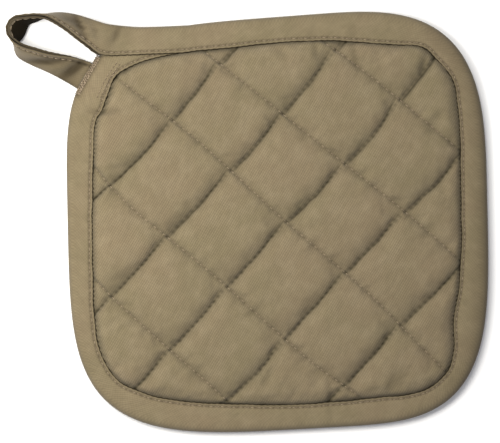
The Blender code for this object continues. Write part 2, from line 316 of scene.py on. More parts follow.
tapeCloth = {
    "yarn": "#74684f",
    "faded": "#83765c",
    "greenish": "#70664a",
    "pinkish": "#7a6952",
    # Painted shade, as on the panel: the colour that seams and deep folds are darkened towards
    "seamShadeColour": "#4a402d",
    "deepFold": "#120f0a",
    "twillPitch": 0.95,
    "twillTurn": 38.0,       # cut on the bias, so the ribs cross the tape aslant
    "weftPitch": 1.2,
    "ribTone": (0.92, 1.06),  # pressed smooth
    "bumpHeight": 0.00007,
    "roughness": 0.88,
}

threadFinish = {
    "colour": "#908069",
    # Painted shade: the darker colour drawn in the grooves between the plies
    "shade": "#6a5c4a",
    "pitch": 0.9,            # mm of one turn of the ply
    "roughness": 0.75,
}


def clothMaterial(name, look):
    # Cotton twill, woven and piece dyed: steep fine ribs, no gloss, a soft haze at grazing angles,
    # and a colour that wanders a little from yarn to yarn and fades where it is handled, with painted shade
    # in seams and folds
    material = bpy.data.materials.new(name)
    material.use_nodes = True
    tree = material.node_tree
    shader = tree.nodes["Principled BSDF"]
    place = addNode(tree, "ShaderNodeAttribute", {"attribute_name": "clothPlace"})
    inMillimetres = addNode(tree, "ShaderNodeVectorMath", {"operation": "SCALE", "Scale": 1000.0},
                            {0: place.outputs["Vector"]})
    turned = addNode(tree, "ShaderNodeMapping",
                     {"Rotation": (0.0, 0.0, math.radians(90.0 - look["twillTurn"]))},
                     {"Vector": inMillimetres.outputs[0]})
    onCloth = {"Vector": inMillimetres.outputs[0]}
    onRibs = {"Vector": turned.outputs[0]}
    ribs = addNode(tree, "ShaderNodeTexWave", {
        "wave_type": "BANDS", "bands_direction": "X", "Scale": waveTurn / look["twillPitch"],
        "Distortion": 1.6, "Detail": 2.0, "Detail Scale": 1.4, "Detail Roughness": 0.6}, onRibs)
    floats = addNode(tree, "ShaderNodeTexWave", {
        "wave_type": "BANDS", "bands_direction": "Y", "Scale": waveTurn / look["weftPitch"],
        "Distortion": 3.0, "Detail": 1.0, "Detail Scale": 2.0}, onRibs)
    stretch = addNode(tree, "ShaderNodeMapping", {"Scale": (1.0, 0.25, 1.0)}, onRibs)
    slubs, mottle, blotch, fluff = (
        addNode(tree, "ShaderNodeTexNoise", {"Scale": scale, "Detail": detail, "Roughness": coarse}, where)
        for scale, detail, coarse, where in (
            (0.7, 3.0, 0.6, {"Vector": stretch.outputs[0]}), (0.035, 2.0, 0.55, onCloth),
            (0.12, 3.0, 0.6, onCloth), (1.6, 2.0, 0.7, onCloth)))
    # Painted shade: seamShade from 0 to 1 darkens the cloth to its seam shade colour, and from 1 to 2 on to
    # the deep-fold shade
    paintedShade = addNode(tree, "ShaderNodeAttribute", {"attribute_name": "seamShade"})

    # What each pattern gives: its own lowest and highest value, then the result's
    share = {}
    for result, source, low, high, least, most in (
            ("hue", mottle, 0.36, 0.64, 0.0, 1.0),
            ("faded", blotch, 0.42, 0.75, 0.0, 0.55),
            ("slub", slubs, 0.3, 0.7, 0.93, 1.07),
            ("rib", ribs, 0.0, 1.0, *look["ribTone"]),
            ("float", floats, 0.0, 1.0, 0.96, 1.04),
            ("rough", fluff, 0.3, 0.7, look["roughness"] - 0.05, look["roughness"] + 0.07),
            ("deep", paintedShade, 1.0, 2.0, 0.0, 1.0),
            # Painted shade in the gloss and haze too: both are turned down where seamShade is deep
            ("gloss", paintedShade, 0.9, 1.8, 0.25, 0.01),    # a deep fold sends back no gloss and no haze
            ("haze", paintedShade, 0.9, 1.8, 0.12, 0.01)):
        ranged = addNode(tree, "ShaderNodeMapRange", {"From Min": low, "From Max": high, "To Min": least,
                         "To Max": most}, {"Value": source.outputs["Fac"]})
        share[result] = ranged.outputs[0]

    hue = addNode(tree, "ShaderNodeMix", {"data_type": "RGBA", 6: linearColour(look["greenish"]),
                  7: linearColour(look["pinkish"])}, {0: share["hue"]})
    body = addNode(tree, "ShaderNodeMix", {"data_type": "RGBA", 0: 0.68, 7: linearColour(look["yarn"])},
                   {6: hue.outputs[2]})
    fading = addNode(tree, "ShaderNodeMix", {"data_type": "RGBA", 7: linearColour(look["faded"])},
                     {0: share["faded"], 6: body.outputs[2]})
    tone = addNode(tree, "ShaderNodeMath", {"operation": "MULTIPLY"}, {0: share["slub"], 1: share["rib"]})
    tone = addNode(tree, "ShaderNodeMath", {"operation": "MULTIPLY"},
                   {0: tone.outputs[0], 1: share["float"]})
    toned = addNode(tree, "ShaderNodeVectorMath", {"operation": "SCALE"},
                    {0: fading.outputs[2], "Scale": tone.outputs[0]})
    # The painted shade, mixed into the base colour
    paintedShading = addNode(tree, "ShaderNodeMix", {"data_type": "RGBA", 7: linearColour(look["seamShadeColour"])},
                     {0: paintedShade.outputs["Fac"], 6: toned.outputs[0]})
    deepened = addNode(tree, "ShaderNodeMix", {"data_type": "RGBA", 7: linearColour(look["deepFold"])},
                       {0: share["deep"], 6: paintedShading.outputs[2]})
    tree.links.new(deepened.outputs[2], shader.inputs["Base Color"])

    ribHeight = addNode(tree, "ShaderNodeMath", {"operation": "MULTIPLY", 1: 0.75}, {0: ribs.outputs["Fac"]})
    weave = addNode(tree, "ShaderNodeMath", {"operation": "MULTIPLY_ADD", 1: 0.3},
                    {0: floats.outputs["Fac"], 2: ribHeight.outputs[0]})
    cloth = addNode(tree, "ShaderNodeMath", {"operation": "MULTIPLY_ADD", 1: 0.8},
                    {0: fluff.outputs["Fac"], 2: weave.outputs[0]})
    bump = addNode(tree, "ShaderNodeBump", {"Strength": 0.8, "Distance": look["bumpHeight"]},
                   {"Height": cloth.outputs[0]})
    tree.links.new(bump.outputs[0], shader.inputs["Normal"])
    for result, socket in (("rough", "Roughness"), ("gloss", "Specular IOR Level"), ("haze", "Sheen Weight")):
        tree.links.new(share[result], shader.inputs[socket])
    shader.inputs["IOR"].default_value = 1.53          # cellulose
    shader.inputs["Sheen Roughness"].default_value = 0.6
    return material


def threadMaterial(name, look):
    # Spun polyester sewing thread, two plies twisted: paler and a little smoother than the cloth
    material = bpy.data.materials.new(name)
    material.use_nodes = True
    tree = material.node_tree
    shader = tree.nodes["Principled BSDF"]
    place = addNode(tree, "ShaderNodeAttribute", {"attribute_name": "clothPlace"})
    inMillimetres = addNode(tree, "ShaderNodeVectorMath", {"operation": "SCALE", "Scale": 1000.0},
                            {0: place.outputs["Vector"]})
    ply = addNode(tree, "ShaderNodeTexWave", {"wave_type": "BANDS", "bands_direction": "DIAGONAL",
                  "Scale": waveTurn / look["pitch"], "Distortion": 0.5},
                  {"Vector": inMillimetres.outputs[0]})
    # Painted shade between the plies, mixed in along the twist
    colour = addNode(tree, "ShaderNodeMix", {"data_type": "RGBA", 6: linearColour(look["shade"]),
                     7: linearColour(look["colour"])}, {0: ply.outputs["Fac"]})
    tree.links.new(colour.outputs[2], shader.inputs["Base Color"])
    bump = addNode(tree, "ShaderNodeBump", {"Strength": 0.6, "Distance": 0.00008},
                   {"Height": ply.outputs["Fac"]})
    tree.links.new(bump.outputs[0], shader.inputs["Normal"])
    shader.inputs["Roughness"].default_value = look["roughness"]
    shader.inputs["IOR"].default_value = 1.58          # polyester
    shader.inputs["Specular IOR Level"].default_value = 0.3
    return material


# The quilted pad: one closed form whose points lie on the quilting lattice, so every seam has a
# row of points and every needle hole a point of its own

quiltedPad = {
    "clampInset": 0.0040,    # the pad goes this far under the tape
    "clampLow": 0.0013,
    "clampHigh": 0.0040,
    "seamLow": 0.0020,
    "pillowHigh": 0.0084,
    "edgeReach": 0.0065,     # how fast the pad comes up beside the binding
    "flatReach": 0.0090,
    # groove depth, groove width, dish depth, dish reach: rising seams are drawn in harder
    "risingSeam": (0.0016, 0.0017, 0.0006, 0.0080),
    "fallingSeam": (0.0011, 0.0014, 0.0007, 0.0110),
    "crossingFade": 0.5,     # seams are shallower where they cross
    "foldFade": 0.75,        # the same where a falling seam crosses a fold line
    "foldShift": (0.0009, -0.0016),  # from the thread to the fold line, after and before a crossing
    "risingPinch": 0.80,
    "fallingPinch": 0.62,
    "fill": 0.5,
    "lines": 5,              # quilting lines each way
    "needleDip": 0.00035,
    "threadSunk": (0.00036, 0.00008),   # how deep the rising and the falling thread lie
    "threadRadius": 0.00017,
    "pucker": 0.00095,       # small folds that run off a seam, height
    "puckerSize": 0.0046,
    "puckerReach": 0.0042,
    "edgeFold": 0.0004,      # small folds beside the binding
    "soft": 0.0004,          # slow waves in the filling
    "sway": 0.00045,         # how far the cloth beside a rising seam sways sideways
    # Painted shade, as strength and reach: 1 gives the seam shade colour, 2 that of a deep fold's shade
    "foldShade": (0.70, 0.00048),
    "besideFold": (0.30, 0.0019),
    "besideThread": (0.26, 0.0014),
    "holeShade": (0.35, 0.0007, 0.0006),     # reach at a rising and at a falling seam
    "gapShade": (0.80, 0.50, 0.0011),        # all round, and more at gapCorner
    "gapCorner": (-0.076, 0.070),            # the tape stands off the pad most here
    "pillowShade": 0.22,
    "creaseShade": 0.45,
    # The simulation, which solves the cloth at ten times life size, where the solver is steadier
    "upscale": 10.0,
    "spare": 0.035,          # spare cloth in each diamond
    "pressure": 1.6,
    "frames": 20,
    "mostMove": 0.0007,      # the furthest a point may move
    "cloth": {
        "quality": 6, "mass": 0.35, "tension_stiffness": 12.0, "compression_stiffness": 12.0,
        "shear_stiffness": 4.0, "bending_stiffness": 0.35, "tension_damping": 12.0,
        "shear_damping": 8.0, "bending_damping": 1.0, "air_damping": 4.0,
    },
    # x, y, direction in degrees, half length, half width, height: creases that the sewing pulled in
    "creases": (
        (-0.0692, 0.0750, 90, 0.0042, 0.0010, -0.0013),
        (0.0218, 0.0815, 88, 0.0045, 0.0011, -0.0013),
        (0.0405, 0.0790, 100, 0.0050, 0.0012, -0.0013),
        (0.0300, 0.0805, 95, 0.0040, 0.0012, 0.0007),
        (-0.0080, -0.0735, 60, 0.0060, 0.0013, -0.0012),
        (-0.0020, -0.0760, 62, 0.0045, 0.0012, 0.0007),
        (0.0733, 0.0726, 77, 0.0055, 0.0012, -0.0015),
        (0.0513, -0.0785, 62, 0.0060, 0.0011, -0.0010),
        (0.0545, -0.0775, 62, 0.0050, 0.0010, -0.0008),
        (0.0580, -0.0765, 60, 0.0050, 0.0011, -0.0008),
        (0.0215, -0.0832, 90, 0.0045, 0.0011, -0.0011),
        (-0.0780, 0.0568, 3, 0.0055, 0.0012, -0.0015),
    ),
}


def pillowRise(distance, reach):
    rest = 1.0 - np.clip(distance / reach, 0.0, 1.0)
    return np.sqrt(1.0 - rest * rest)


def creaseHeight(points, creases):
    height = np.zeros(len(points))
    for x, y, degrees, halfLength, halfWidth, depth in creases:
        turn = math.radians(degrees)
        dx = points[:, 0] - x
        dy = points[:, 1] - y
        along = dx * math.cos(turn) + dy * math.sin(turn)
        across = -dx * math.sin(turn) + dy * math.cos(turn)
        height += depth * bell(along, halfLength) * bell(across, halfWidth)
    return height


def padLattice(stations):
    # The lattice's ranks, places and the quads that lie inside the tape
    step = 1.0 / (2 * quilting["stitches"])
    shares = [index * step for index in range(2 * quilting["stitches"])]
    shares += list(quilting["besideSeam"]) + [1.0 - share for share in quilting["besideSeam"]]
    shares = sorted(shares)
    ranks = np.array([rank + share for rank in range(-2, 6) for share in shares])
    rising, falling = np.meshgrid(ranks, ranks, indexing="ij")
    places = latticePoints(rising.ravel(), falling.ravel())
    inset = np.full(len(places), -1.0)
    width = np.zeros(len(places))
    near = np.hypot(places[:, 0], places[:, 1]) < 0.16
    inset[near], width[near] = insetAndWidth(places[near], stations)
    past = (inset - width).reshape(rising.shape)
    quads = allFour(past > -quiltedPad["clampInset"])
    return ranks, rising, falling, places.reshape(*rising.shape, 2), past, quads


def allFour(keep):
    # The quads of a grid whose four corners are all kept
    return keep[:-1, :-1] & keep[1:, :-1] & keep[:-1, 1:] & keep[1:, 1:]


def seamValley(distance, shape, ease, fade):
    groove, grooveWidth, dish, dishReach = shape
    narrow = groove * ease * (1.0 - fade) * np.exp(-(distance / grooveWidth) ** 1.3)
    return narrow + dish * (1.0 - smoothShare(distance / dishReach))


def foldDistance(points, toRising, risingRank, fallingRank):
    # Beside a rising seam the fullest pillow hangs over the thread, and its fold line leaves the
    # thread towards the upper left before the next crossing, more so at the upper right of the pad
    signed = np.where(risingRank % 1.0 < 0.5, toRising, -toRising)
    after, before = quiltedPad["foldShift"]
    fullness = 0.8 + 3.0 * (points[:, 0] + points[:, 1]) + 0.5 * uneven(points, (0.031, 0.031), 4.9)
    shift = blend(after, before, smoothShare((fallingRank % 1.0 - 0.5) / 0.5)) * fullness
    return np.abs(signed - shift)


def sheetHeights(points, past, risingRank, fallingRank):
    # Heights of the upper and the lower cloth, and the distances to the seams
    look = quiltedPad
    toRising, toFalling = seamDistances(points)
    toFold = foldDistance(points, toRising, risingRank, fallingRank)
    ease = 1.0 + 0.45 * uneven(points, (0.012, 0.012), 7.7)
    rising = seamValley(toFold, look["risingSeam"], ease, look["foldFade"] * bell(toFalling, 0.003))
    falling = seamValley(toFalling, look["fallingSeam"], ease, look["crossingFade"] * bell(toRising, 0.004))
    valley = rising + falling - 0.6 * np.minimum(rising, falling)
    rise = pillowRise(past, look["edgeReach"])
    top = look["clampHigh"] + (look["pillowHigh"] - look["clampHigh"] - valley) * rise
    full = 1.0 - look["risingPinch"] * (1.0 - pillowRise(toRising, look["flatReach"]))
    full *= 1.0 - look["fallingPinch"] * (1.0 - pillowRise(toFalling, look["flatReach"]))
    full *= pillowRise(past, look["flatReach"])
    bottom = blend(look["clampLow"], look["seamLow"], smoothShare(past / look["flatReach"])) * (1.0 - full)
    return top, bottom, toRising, toFalling


def gridMesh(quads):
    # Numbers the used points of a grid and lists its quads
    used = np.zeros((quads.shape[0] + 1, quads.shape[1] + 1), dtype=bool)
    for shiftX in (0, 1):
        for shiftY in (0, 1):
            used[shiftX:shiftX + quads.shape[0], shiftY:shiftY + quads.shape[1]] |= quads
    number = np.full(used.shape, -1)
    number[used] = np.arange(used.sum())
    rows, columns = np.nonzero(quads)
    corners = np.stack((number[rows, columns], number[rows + 1, columns],
                        number[rows + 1, columns + 1], number[rows, columns + 1]), axis=1)
    return used, corners


def borderEdges(corners):
    # The edges that belong to one quad only, in that quad's order
    edges = np.concatenate([corners[:, (side, (side + 1) % 4)] for side in range(4)])
    count = corners.max() + 1
    forward = edges[:, 0] * count + edges[:, 1]
    backward = edges[:, 1] * count + edges[:, 0]
    return edges[~np.isin(forward, backward)]


def simulatedSheet(points, corners, pinned):
    # Blows the top cloth up between its seams, with a little spare cloth, and returns the moves
    look = quiltedPad
    scale = look["upscale"]
    mesh = bpy.data.meshes.new("solving")
    mesh.from_pydata((points * scale).tolist(), [], corners.tolist())
    sheet = bpy.data.objects.new("solving", mesh)
    bpy.context.collection.objects.link(sheet)
    pins = sheet.vertex_groups.new(name="pins")
    pins.add(np.nonzero(pinned)[0].tolist(), 1.0, "REPLACE")
    solver = sheet.modifiers.new("cloth", "CLOTH")
    cloth = solver.settings
    for name, value in look["cloth"].items():
        setattr(cloth, name, value)
    cloth.vertex_group_mass = "pins"
    cloth.use_pressure = True
    cloth.uniform_pressure_force = look["pressure"]
    cloth.shrink_min = -look["spare"]
    cloth.effector_weights.gravity = 0.0
    solver.collision_settings.use_collision = False
    solver.collision_settings.use_self_collision = False
    scene = bpy.context.scene
    solver.point_cache.frame_start = 1
    solver.point_cache.frame_end = look["frames"]
    for step in range(1, look["frames"] + 1):
        scene.frame_set(step)
    solved = sheet.evaluated_get(bpy.context.evaluated_depsgraph_get())
    moved = np.empty(len(points) * 3)
    solved.data.vertices.foreach_get("co", moved)
    scene.frame_set(1)
    bpy.data.objects.remove(sheet, do_unlink=True)
    move = moved.reshape(-1, 3) / scale - points
    size = np.linalg.norm(move, axis=1, keepdims=True)
    return move * np.tanh(size / look["mostMove"]) * look["mostMove"] / np.maximum(size, 1e-9)


def spreadMoves(ranks, coarseRows, moves):
    # Spreads moves known on some rows of the lattice to all its rows, both ways
    coarse = ranks[coarseRows]
    wide = np.stack([[np.interp(ranks, coarse, moves[row, :, axis]) for row in range(len(coarse))]
                     for axis in range(3)], axis=-1)
    full = np.empty((len(ranks), len(ranks), 3))
    for axis in range(3):
        for column in range(len(ranks)):
            full[:, column, axis] = np.interp(ranks, coarse, wide[:, column, axis])
    return full


def simulatedMoves(ranks, rising, falling, places, past):
    # Solves the upper cloth on the rows that hold the stitches, and spreads its moves to all rows
    stitchStep = 1.0 / (2 * quilting["stitches"])
    rounded = np.round(ranks / stitchStep) * stitchStep
    coarseRows = np.nonzero(np.abs(rounded - ranks) < 1e-6)[0]
    picked = np.ix_(coarseRows, coarseRows)
    keep = past[picked] > -0.0015
    used, corners = gridMesh(allFour(keep))
    flat, inside = places[picked][used], past[picked][used]
    top, _, toRising, toFalling = sheetHeights(flat, inside, rising[picked][used], falling[picked][used])
    pinned = (np.minimum(toRising, toFalling) < 0.0004) | (inside < 0.0006)
    moves = np.zeros((*used.shape, 3))
    moves[used] = simulatedSheet(np.column_stack((flat, top)), corners, pinned)
    print("pad simulation: moves up to", round(float(np.abs(moves).max()) * 1000, 2), "mm")
    return spreadMoves(ranks, coarseRows, moves)


def padShade(flat, past, rising, falling, toRising, toFalling, holes):
    # Painted shade: how deep each point lies in a fold line, a seam, a needle hole, a crease or the tape's
    # gap
    look = quiltedPad
    toFold = foldDistance(flat, toRising, rising, falling)
    # The fold lines are clearest on the upper half, and mostly needle holes show where they aren't
    clear = np.clip(0.92 + 3.5 * flat[:, 1] + 0.9 * uneven(flat, (0.035, 0.035), 13.7), 0.45, 1.45)
    beads = np.clip(1.5 - clear, 0.1, 1.0) * (holes[0] - 0.4)
    strength, reach = look["foldShade"]
    shade = strength * bell(toFold, reach) * (clear + 0.6 * beads)
    strength, reach = look["besideFold"]
    shade = (shade + strength * np.exp(-toFold / reach)) * (1.0 - 0.40 * bell(toFalling, 0.0035))
    strength, reach = look["besideThread"]
    shade += strength * (np.exp(-toRising / reach) + np.exp(-toFalling / reach))
    strength, atRising, atFalling = look["holeShade"]
    shade += strength * (holes[0] * bell(toRising, atRising) + holes[1] * bell(toFalling, atFalling))
    # Painted shade: the lower corner of every pillow turns away from the light
    shade += look["pillowShade"] * bell(1.0 - rising % 1.0, 0.30) * bell(falling % 1.0, 0.34)
    strength, atCorner, reach = look["gapShade"]
    toCorner = np.hypot(*(flat - look["gapCorner"]).T)
    shade += bell(past, reach) * (strength + atCorner * bell(toCorner, 0.030))
    crease = np.clip(-creaseHeight(flat, look["creases"]) / 0.0012, 0.0, 1.0)
    return np.clip(shade + look["creaseShade"] * crease, 0.0, 1.8)


def makeQuiltedPad(stations, material):
    look = quiltedPad
    ranks, rising, falling, places, past, quads = padLattice(stations)
    used, corners = gridMesh(quads)
    flat = places[used]
    inside = past[used]
    top, bottom, toRising, toFalling = sheetHeights(flat, inside, rising[used], falling[used])
    lift = cornerLift(flat[:, 0], flat[:, 1])
    print("pad lattice:", len(flat), "places")
    moves = simulatedMoves(ranks, rising, falling, places, past)[used]

    # Needle dips, small folds off each seam, and the creases beside the binding
    stitches = quilting["stitches"]
    alongRising = np.cos(2.0 * math.pi * stitches * falling[used])
    alongFalling = np.cos(2.0 * math.pi * stitches * rising[used])
    dip = alongRising * bell(toRising, 0.0011) + 0.6 * alongFalling * bell(toFalling, 0.0012)
    folds = 0.0
    for rank, distance, strength, seed in ((falling, toRising, 1.0, 3.1), (rising, toFalling, 1.1, 8.7)):
        alongSeam = np.column_stack((rank[used] * 0.037, distance))
        fold = uneven(alongSeam, (look["puckerSize"], 0.020), seed)
        folds += strength * fold * np.exp(-distance / look["puckerReach"])
    edgeFold = uneven(flat, (0.0042, 0.0042), 5.3) * bell(inside - 0.0012, 0.0035)
    soft = uneven(flat, (0.021, 0.021), 1.9)
    shown = smoothShare(inside / 0.0012)
    height = top - look["needleDip"] * dip * shown
    height += (look["pucker"] * folds + look["edgeFold"] * edgeFold + look["soft"] * soft) * shown
    height += creaseHeight(flat, look["creases"]) * shown
    upper = np.column_stack((flat, height + lift)) + moves
    sway = look["sway"] * uneven(flat, (0.0055, 0.0055), 11.3) * bell(toRising - 0.0012, 0.0012) * shown
    upper[:, 0] += sway * math.sin(quilting["risingTurn"])
    upper[:, 1] -= sway * math.cos(quilting["risingTurn"])
    lowDip = np.clip(0.2 * look["needleDip"] * dip * shown, 0.0, None)
    lower = np.column_stack((flat, np.maximum(bottom + lowDip, 0.0) + lift))

    count = len(flat)
    border = borderEdges(corners)
    faces = corners.tolist()
    faces += (corners[:, ::-1] + count).tolist()
    faces += [(b, a, a + count, b + count) for a, b in border.tolist()]
    points = np.concatenate((upper, lower))
    piece = addMesh("quiltedPad", points, faces, material, points)
    shade = piece.data.attributes.new("seamShade", "FLOAT", "POINT")
    holes = np.clip(alongRising, 0.0, 1.0), np.clip(alongFalling, 0.0, 1.0)
    value = padShade(flat, inside, rising[used], falling[used], toRising, toFalling, holes)
    shade.data.foreach_set("value", np.concatenate((value, value)).astype(np.float32))
    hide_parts("quilted_panel")

    # The seams' own points, for the thread
    grid = np.full((*used.shape, 3), np.nan)
    grid[used] = upper
    under = np.full((*used.shape, 3), np.nan)
    under[used] = lower
    seams = []
    stitchRows = np.nonzero(np.abs(ranks * 2 * stitches - np.round(ranks * 2 * stitches)) < 1e-6)[0]
    for line in range(look["lines"]):
        row =int(np.nonzero(np.abs(ranks - line) < 1e-6)[0][0])
        for surface, side in ((grid, 1.0), (under, -1.0)):
            deep, shallow = (side * up * sunk for sunk in look["threadSunk"])
            seams.append((surface[row, stitchRows] - deep, past[row, stitchRows], side))
            seams.append((surface[stitchRows, row] - shallow, past[stitchRows, row], side))
    return seams


# The tape: one folded length that starts under its own end at the top left corner, goes round the
# pad and runs on as the loop

tape = {
    "spacing": 0.00145,      # half a stitch
    "cloth": 0.0010,         # two layers of twill
    "opening": 0.00215,      # from the middle plane to a flange's middle, round the pad
    "nose": 0.0031,
    "roundNose": 0.0046,     # the right side is rolled over rather than pressed flat
    "tackTop": (-0.0820, 0.0840),   # the bar tack pulls the first end out to here
    "tackReach": 0.0011,
    "crown": 0.00022,
    "seamInset": 0.0017,     # the seam's place from the inner edge
    "seamDepth": 0.00042,
    "seamWidth": 0.00055,
    "biteDepth": 0.00016,
    "ripple": 0.00020,
    "flat": (0.030, 0.935),
    # Painted shade: 1 gives the seam shade colour, 2 that of a deep fold's shade
    "grooveShade": (0.75, 0.35, 0.0006),     # at a needle hole, between two, and the reach
    "innerShade": 1.2,
    "loopInsideShade": 1.9,
    # Painted shade: the loop's two strands lean away from the light
    "leavingShade": 0.50,                    # on the loop's upper face, where it leaves the pad
    "returningShade": 0.52,                  # and where it comes back
    "creaseShade": 0.80,
    "tackShade": 0.95,
    "rimShade": (1.0, 1.9, 1.9, 1.2, 0.9),   # over the cut edge that faces the pad
    # rim x, rim y, fold x, fold y, rim height, fold height, rim opening, fold opening, nose
    "loop": (
        (-0.0520, 0.0830, -0.0515, 0.0967, 0.0041, 0.0037, 0.00325, 0.00215, 0.0024),
        (-0.0626, 0.0833, -0.0620, 0.0969, 0.0049, 0.0043, 0.00330, 0.00190, 0.0022),
        (-0.0700, 0.0834, -0.0675, 0.0975, 0.0051, 0.0047, 0.00330, 0.00160, 0.0018),
        (-0.0762, 0.0836, -0.0725, 0.0982, 0.0054, 0.0050, 0.00320, 0.00120, 0.0015),
        (-0.0825, 0.0847, -0.0780, 0.0992, 0.0072, 0.0052, 0.00250, 0.00080, 0.0012),
        (-0.0876, 0.0888, -0.0826, 0.1008, 0.0098, 0.0047, 0.00150, 0.00055, 0.0011),
        (-0.0930, 0.0934, -0.0876, 0.1026, 0.0114, 0.0036, 0.00095, 0.00050, 0.0011),
        (-0.0981, 0.0976, -0.0935, 0.1044, 0.0120, 0.0024, 0.00078, 0.00050, 0.0011),
        (-0.1033, 0.1014, -0.1004, 0.1053, 0.0125, 0.0015, 0.00075, 0.00050, 0.0011),
        (-0.1072, 0.1036, -0.1067, 0.1046, 0.0128, 0.0011, 0.00075, 0.00050, 0.0011),
        (-0.1118, 0.1045, -0.1114, 0.1026, 0.0127, 0.0011, 0.00075, 0.00050, 0.0011),
        (-0.1171, 0.1044, -0.1138, 0.1018, 0.0122, 0.0011, 0.00075, 0.00050, 0.0011),
        (-0.1218, 0.1039, -0.1155, 0.1006, 0.0115, 0.0011, 0.00075, 0.00050, 0.0011),
        (-0.1245, 0.1017, -0.1167, 0.0984, 0.0112, 0.0011, 0.00075, 0.00050, 0.0011),
        (-0.1257, 0.0989, -0.1176, 0.0962, 0.0112, 0.0011, 0.00075, 0.00050, 0.0011),
        (-0.1248, 0.0953, -0.1190, 0.0942, 0.0120, 0.0011, 0.00075, 0.00050, 0.0011),
        (-0.1218, 0.0924, -0.1221, 0.0908, 0.0127, 0.0011, 0.00075, 0.00050, 0.0011),
        (-0.1178, 0.0901, -0.1212, 0.0856, 0.0118, 0.0011, 0.00075, 0.00050, 0.0011),
        (-0.1126, 0.0883, -0.1151, 0.0815, 0.0109, 0.0011, 0.00075, 0.00055, 0.0012),
        (-0.1075, 0.0866, -0.1100, 0.0789, 0.0103, 0.0011, 0.00075, 0.00055, 0.0012),
        (-0.1006, 0.0851, -0.1040, 0.0755, 0.0080, 0.0011, 0.00070, 0.00055, 0.0012),
        (-0.0935, 0.0836, -0.0982, 0.0718, 0.0042, 0.0011, 0.00060, 0.00055, 0.0012),
        (-0.0868, 0.0811, -0.0940, 0.0690, 0.0013, 0.0010, 0.00050, 0.00050, 0.0011),
        (-0.0825, 0.0782, -0.0902, 0.0658, 0.0010, 0.0010, 0.00050, 0.00050, 0.0011),
        (-0.0797, 0.0762, -0.0871, 0.0640, 0.0010, 0.0010, 0.00050, 0.00050, 0.0011),
    ),
    # x, y, direction in degrees, half length, half width, height: soft folds in the loop and the corner
    "folds": (
        (-0.0905, 0.0985, 118, 0.0065, 0.0015, -0.0021),
        (-0.0872, 0.0972, 115, 0.0060, 0.0014, 0.0012),
        (-0.0960, 0.1020, 150, 0.0045, 0.0014, -0.0012),
        (-0.0733, 0.0938, 65, 0.0040, 0.0014, -0.0014),
        (-0.0836, 0.0950, 100, 0.0026, 0.0012, -0.0010),
        (-0.0790, 0.0905, 80, 0.0040, 0.0016, 0.0007),
        (-0.1085, 0.0825, -6, 0.0090, 0.0015, -0.0021),
        (-0.0945, 0.0782, 32, 0.0075, 0.0021, -0.0024),
        (-0.1010, 0.0795, 15, 0.0080, 0.0014, 0.0009),
        (-0.0860, 0.0570, 5, 0.0030, 0.0010, -0.0012),
        (0.0210, 0.0900, 85, 0.0040, 0.0016, -0.0004),
        (0.0410, 0.0890, 100, 0.0040, 0.0015, -0.0004),
        (0.0900, -0.0870, 50, 0.0050, 0.0018, -0.0005),
        (0.0215, -0.0930, 95, 0.0040, 0.0015, -0.0004),
    ),
}

barTack = {
    "start": (-0.0825, 0.0837),
    "end": (-0.0935, 0.0659),
    "width": 0.0027,
    "turns": 17,
    "press": 0.0010,         # how far it pulls the tape down
    "rows": (-0.32, 0.30),   # two straight rows over the zigzag, shares of its width
    "radius": 0.00027,
    "rise": 0.00030,
}

cornerRow = {
    "start": (-0.0733, 0.0805),
    "end": (-0.0840, 0.0634),
    "rows": (-0.0002, 0.0014),   # how far each row lies inside the line
    "bow": 0.0009,
}


def tapeRows(stations):
    # Fold and rim points, openings and nose for every place along the tape
    places, inward, widths = stations
    spacing = tape["spacing"]
    count = len(places)
    run = np.arange(count) * spacing
    hidden = 1.0 - smoothShare((run - 0.004) / 0.008)     # the first end, under the last stretch
    tackTop = bell(np.hypot(*(places - tape["tackTop"]).T), 0.0045)
    foldFlat = places + inward * (0.0002 * hidden - tape["tackReach"] * tackTop)[:, None]
    rimFlat = places + inward * widths[:, None]
    middle = tape["opening"] + 0.5 * tape["cloth"]
    fold = np.column_stack((foldFlat, middle + cornerLift(*foldFlat.T)))
    rim = np.column_stack((rimFlat, middle + cornerLift(*rimFlat.T)))
    opening = tape["opening"] - 0.0002 * hidden
    last = foldFlat[:, 0] > -0.040
    stay = (run < 0.5 * run[-1]) | last
    nose = blend(tape["nose"], tape["roundNose"], smoothShare((foldFlat[:, 0] - 0.045) / 0.040))
    ring = np.column_stack((rim, fold, opening, opening, nose))[stay]
    loop = np.array([(rx, ry, rz, fx, fy, fz, ro, fo, nose)
                     for rx, ry, fx, fy, rz, fz, ro, fo, nose in tape["loop"]])
    rows = np.concatenate((ring, loop))

    # Evenly spaced again along the whole length
    middleLine = 0.5 * (rows[:, 0:3] + rows[:, 3:6])
    lengths = np.concatenate(([0.0], np.cumsum(np.linalg.norm(np.diff(middleLine, axis=0), axis=1))))
    total = lengths[-1]
    wanted = np.linspace(0.0, total, int(round(total / spacing)) + 1)
    index = np.clip(np.searchsorted(lengths, wanted, side="right") - 1, 0, len(rows) - 2)
    share = ((wanted - lengths[index]) / (lengths[index + 1] - lengths[index]))[:, None]
    evenly = curveThrough(rows[np.maximum(index - 1, 0)], rows[index], rows[index + 1],
                          rows[np.minimum(index + 2, len(rows) - 1)], share)
    straight = blend(rows[index], rows[index + 1], share)
    joint = bell(wanted - lengths[len(ring)], 0.012)[:, None]   # unequal steps meet here
    evenly = blend(evenly, straight, joint)
    smoothed = evenly.copy()
    kernel = np.hanning(9)[1:-1]
    kernel /= kernel.sum()
    for column in range(rows.shape[1]):
        padded = np.pad(evenly[:, column], 3, mode="edge")
        smoothed[:, column] = np.convolve(padded, kernel, mode="valid")
    return blend(evenly, smoothed, joint * 0.9), wanted, lengths[len(ring)]


